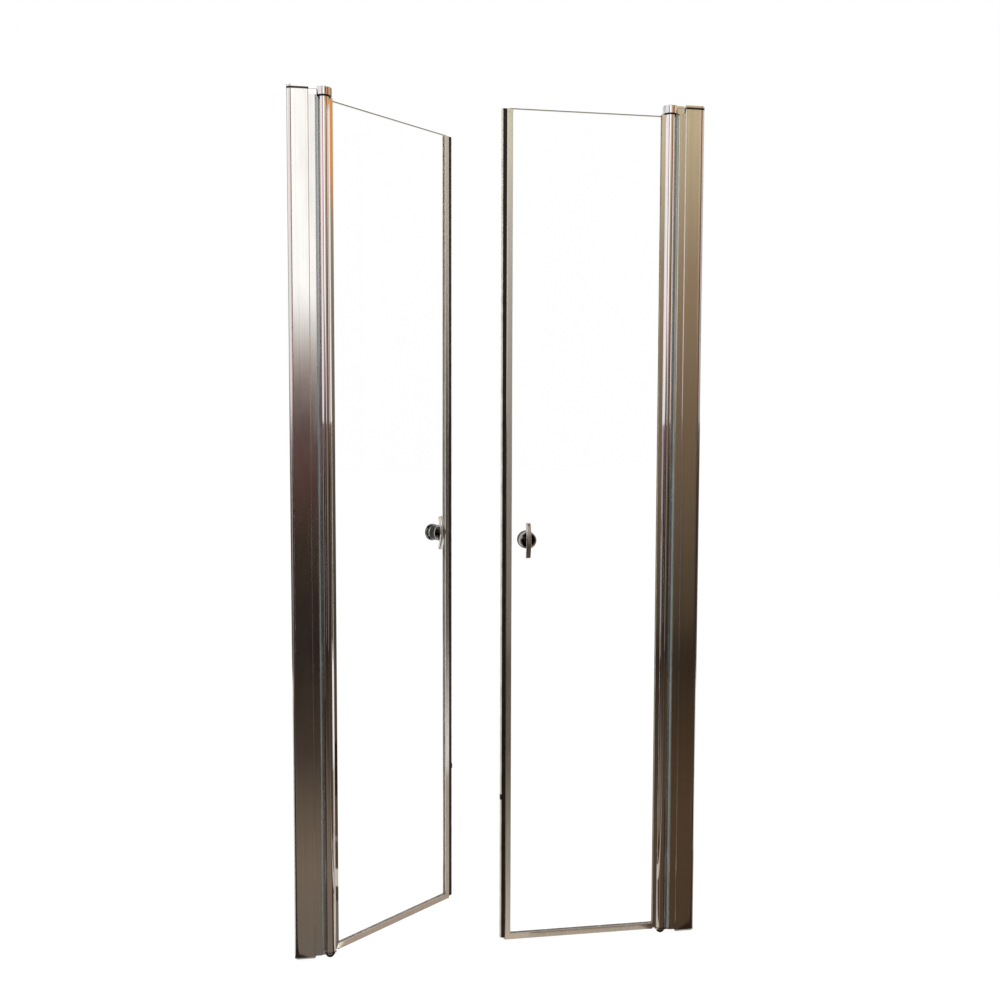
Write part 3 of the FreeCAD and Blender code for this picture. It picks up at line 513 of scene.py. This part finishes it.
PANELS = (
    ("far_left_panel", -140, -104, [
        (0.0, (60, 50, 46)), (1.1, (78, 70, 66)), (1.5, (150, 166, 160)), (BOSS_LEVEL, (170, 186, 180))]),
    ("leaf_side_panel", -104, -86, [
        (0.0, (96, 90, 85)), (0.9, (90, 84, 80)), (1.5, (214, 210, 206)), (BOSS_LEVEL, WHITE)]),
    ("low_far_left_panel", -85, -62, [
        (0.0, (96, 88, 90)), (0.9, (140, 130, 136)), (RING_LOW, (130, 110, 116))]),
    ("low_left_panel", -62, -48, [(0.0, DARK_REFLECTION), (0.9, DARK_REFLECTION), (RING_LOW, (96, 84, 80))]),
    ("pink_panel", -48, -31, [
        (0.0, DARK_REFLECTION), (0.9, DARK_REFLECTION), (1.2, (112, 84, 88)), (1.5, (214, 164, 172)),
        (BOSS_LEVEL, (240, 204, 212))]),
    ("dark_left_panel", -30, -19, [
        (0.0, DARK_REFLECTION), (1.2, (60, 48, 44)), (1.8, (74, 54, 46)), (BOSS_LEVEL, (80, 60, 50))]),
    ("left_face_panel", -19, -4, [
        (0.0, (36, 29, 26)), (0.6, (52, 44, 37)), (0.95, (82, 56, 52)), (1.25, (84, 66, 66)),
        (1.47, (134, 120, 114)), (1.85, WHITE), (RING_TOP, WHITE)]),
    ("low_front_panel", -4, 3, [(0.0, DARK_REFLECTION), (0.9, DARK_REFLECTION), (RING_LOW, (52, 40, 36))]),
    ("grey_front_panel", 3, 13, [
        (0.0, (114, 107, 98)), (1.3, (153, 146, 138)), (1.7, (176, 171, 164)), (2.5, (206, 204, 192)),
        (BOSS_LEVEL, (252, 248, 224))]),
    ("dark_front_panel", 13, 18, [
        (0.0, DARK_REFLECTION), (1.2, (52, 40, 36)), (1.8, (70, 52, 36)), (BOSS_LEVEL, (84, 66, 44))]),
    ("right_face_panel", 18, 36, [
        (0.0, (40, 31, 24)), (0.2, (68, 57, 43)), (1.2, (108, 91, 72)), (2.0, (141, 121, 95)),
        (2.65, (187, 171, 140)), (BOSS_LEVEL, (190, 174, 143))]),
    ("brown_panel", 36, 48, [(0.0, DARK_REFLECTION), (1.2, (60, 46, 38)), (BOSS_LEVEL, (74, 52, 34))]),
    ("red_brown_panel", 48, 62, [(0.0, DARK_REFLECTION), (0.9, DARK_REFLECTION), (1.3, (136, 88, 70)), (BOSS_LEVEL, (192, 124, 92))]),
    ("low_right_panel", 62, 72, [(0.0, DARK_REFLECTION), (0.9, DARK_REFLECTION), (RING_LOW, (100, 86, 76))]),
    ("orange_panel", 72, 80, [
        (0.0, (64, 56, 46)), (1.0, (84, 72, 60)), (1.8, (118, 106, 90)), (2.3, (142, 124, 104)),
        (2.6, (208, 136, 72)), (RING_TOP, (210, 140, 72))]),
    ("grey_right_panel", 80, 97, [
        (0.0, (84, 76, 68)), (0.9, (54, 52, 46)), (1.3, (76, 72, 64)), (2.2, (172, 164, 152)),
        (BOSS_LEVEL, (196, 188, 176))]),
    ("low_far_right_panel", 97, 165, [
        (0.0, (84, 74, 64)), (0.5, (72, 62, 54)), (RING_LOW, (104, 84, 70))]),
)
for panel_name, bearing_from, bearing_to, panel_stops in PANELS:
    panel(panel_name, bearing_from, bearing_to, panel_stops)

BOSS_PANELS = (
    ("boss_left_edge", -150, -95, (52, 50, 44)),
    ("boss_grey", -30, -19, (120, 108, 92)),
    ("boss_dark_line", 8, 26, (48, 34, 26)),
    ("boss_tan", 26, 46, (170, 140, 100)),
    ("boss_brown", 46, 72, (150, 88, 44)),
    ("boss_right", 84, 125, (176, 150, 112)),
    ("boss_right_edge", 125, 160, (60, 46, 34)),
)
for panel_name, bearing_from, bearing_to, colour in BOSS_PANELS:
    panel(panel_name, bearing_from, bearing_to, [(BOSS_LEVEL, colour), (RING_TOP, colour)], BOSS_LEVEL)

floor_card("left_floor_card", (-RING_R, -0.1), [
    (-RING_R, (36, 29, 26)), (-1.5, (60, 51, 44)), (-0.5, (108, 95, 83)), (0.0, (102, 93, 85))])
floor_card("right_floor_card", (-0.1, RING_R), [
    (-RING_R, (40, 31, 24)), (-1.6, (60, 47, 35)), (-0.7, (74, 58, 44)), (0.0, (70, 56, 44))])
floor_card("leaf_floor_card", (-0.34, 0.9), [(0.0, (164, 150, 138)), (0.8, (158, 145, 134))])
floor_card("edge_floor_card", (-0.03, 0.07), [
    (-RING_R, (116, 108, 98)), (-1.2, (122, 114, 104)), (-0.5, (152, 143, 131)), (0.0, (184, 173, 161))],
    lean=0.53, level=CARD_FLOOR + CARD_STEP / 2)
floor_card("rail_floor_card", (0.07, 0.352), [
    (-0.05, (164, 155, 142)), (0.0, (178, 168, 155))], level=CARD_FLOOR + CARD_STEP / 2)


STREAK_START = 0.03
PIVOT_X = 0.374
FOOT_SHADE = 0.028
FOOT_COLOUR = (26, 20, 18)


def flat_card(name, corners, colour):
    """A card of one colour."""
    card(name, corners, card_material(name, "Z", 0.0, 1.0, [(0.0, colour), (1.0, colour)]))


def floor_streak(name, foot_x, bearing, spread, reach, colour):
    """A strip that fans out over the floor from a pivot and shows as one line on its tube."""
    corners = []
    ends = ((STREAK_START, -spread), (STREAK_START, spread), (reach, spread), (reach, -spread))
    for distance, aside in ends:
        x, y = toward(bearing + aside, distance)
        corners.append((foot_x + x, y, CARD_FLOOR + CARD_STEP))
    flat_card(name, corners, colour)


STREAKS = (
    ("left_pale_streak", -PIVOT_X, 91.0, 3.5, 0.33, (255, 250, 235)),
    ("left_red_brown_streak", -PIVOT_X, 60.0, 14.0, 0.38, (58, 30, 24)),
    ("left_dark_streak", -PIVOT_X, -72.0, 20.0, 2.4, (38, 32, 28)),
    ("left_grey_streak", -PIVOT_X, -108.0, 8.0, 2.4, (150, 160, 156)),
    ("right_pale_streak", PIVOT_X, -116.0, 9.0, 0.32, (222, 226, 212)),
    ("right_dark_streak", PIVOT_X, -98.0, 7.0, 0.3, (34, 27, 24)),
    ("right_glint_streak", PIVOT_X, -33.0, 6.0, 0.45, (112, 97, 88)),
    ("right_brown_streak", PIVOT_X, 60.0, 10.0, 0.9, (40, 28, 22)),
)
for streak in STREAKS:
    floor_streak(*streak)

for side_name, foot_x in (("left", -PIVOT_X), ("right", PIVOT_X)):
    around = [(foot_x + FOOT_SHADE * x, FOOT_SHADE * y, CARD_FLOOR + 2 * CARD_STEP) for x, y in SQUARE]
    flat_card(f"{side_name}_foot_shade", around, FOOT_COLOUR)


WORLD_LIGHT = 0.55
WORLD_SHOWN = 1.0


def world():
    """White backdrop that lights the door less than it shows."""
    tree = Tree(bpy.data.worlds.new("studio"), "ShaderNodeOutputWorld")
    light = tree.add("ShaderNodeBackground")
    light.inputs["Color"].default_value = (1, 1, 1, 1)
    strength = tree.ranged(bright_to(tree), 0.0, 1.0, WORLD_LIGHT, WORLD_SHOWN)
    tree.link(strength, light.inputs["Strength"])
    tree.link(light.outputs["Background"], tree.output.inputs["Surface"])
    bpy.context.scene.world = tree.owner


world()


def area_lamp(name, place, target, size, power):
    data = bpy.data.lights.new(name, "AREA")
    data.shape = "RECTANGLE"
    data.size, data.size_y = size
    data.energy = power
    lamp = bpy.data.objects.new(name, data)
    lamp.location = place
    lamp.rotation_mode = "QUATERNION"
    lamp.rotation_quaternion = (Vector(target) - Vector(place)).to_track_quat("-Z", "Y")
    lamp.visible_camera = False
    lamp.visible_glossy = False
    bpy.context.scene.collection.objects.link(lamp)


area_lamp("key_lamp", (-2.2, -2.4, 3.4), (0.0, 0.0, 1.0), (1.8, 1.8), 60.0)
area_lamp("fill_lamp", (2.6, -1.6, 2.6), (0.0, 0.0, 0.9), (2.0, 2.0), 30.0)

# Camera at the photograph's viewpoint
VIEWPOINT = (-0.3529, -2.2199, 1.1401)
FOCAL_PIXELS = 1031.4
PICTURE_PIXELS = 1000.0
YAW, PITCH, ROLL = math.radians(9.011), math.radians(3.607), math.radians(0.151)

camera_data = bpy.data.cameras.new("camera")
camera_data.sensor_width = 36.0
camera_data.lens = FOCAL_PIXELS / PICTURE_PIXELS * camera_data.sensor_width
camera = bpy.data.objects.new("camera", camera_data)
forward = Vector((math.sin(YAW) * math.cos(PITCH), math.cos(YAW) * math.cos(PITCH), -math.sin(PITCH)))
right = Vector((math.cos(YAW), -math.sin(YAW), 0.0))
up = right.cross(forward)
tilted_right = math.cos(ROLL) * right + math.sin(ROLL) * up
tilted_up = -math.sin(ROLL) * right + math.cos(ROLL) * up
turn = Matrix((tilted_right, tilted_up, -forward)).transposed()
camera.matrix_world = Matrix.Translation(VIEWPOINT) @ turn.to_4x4()
bpy.context.scene.collection.objects.link(camera)
bpy.context.scene.camera = camera
bpy.context.scene.view_settings.view_transform = "Standard"
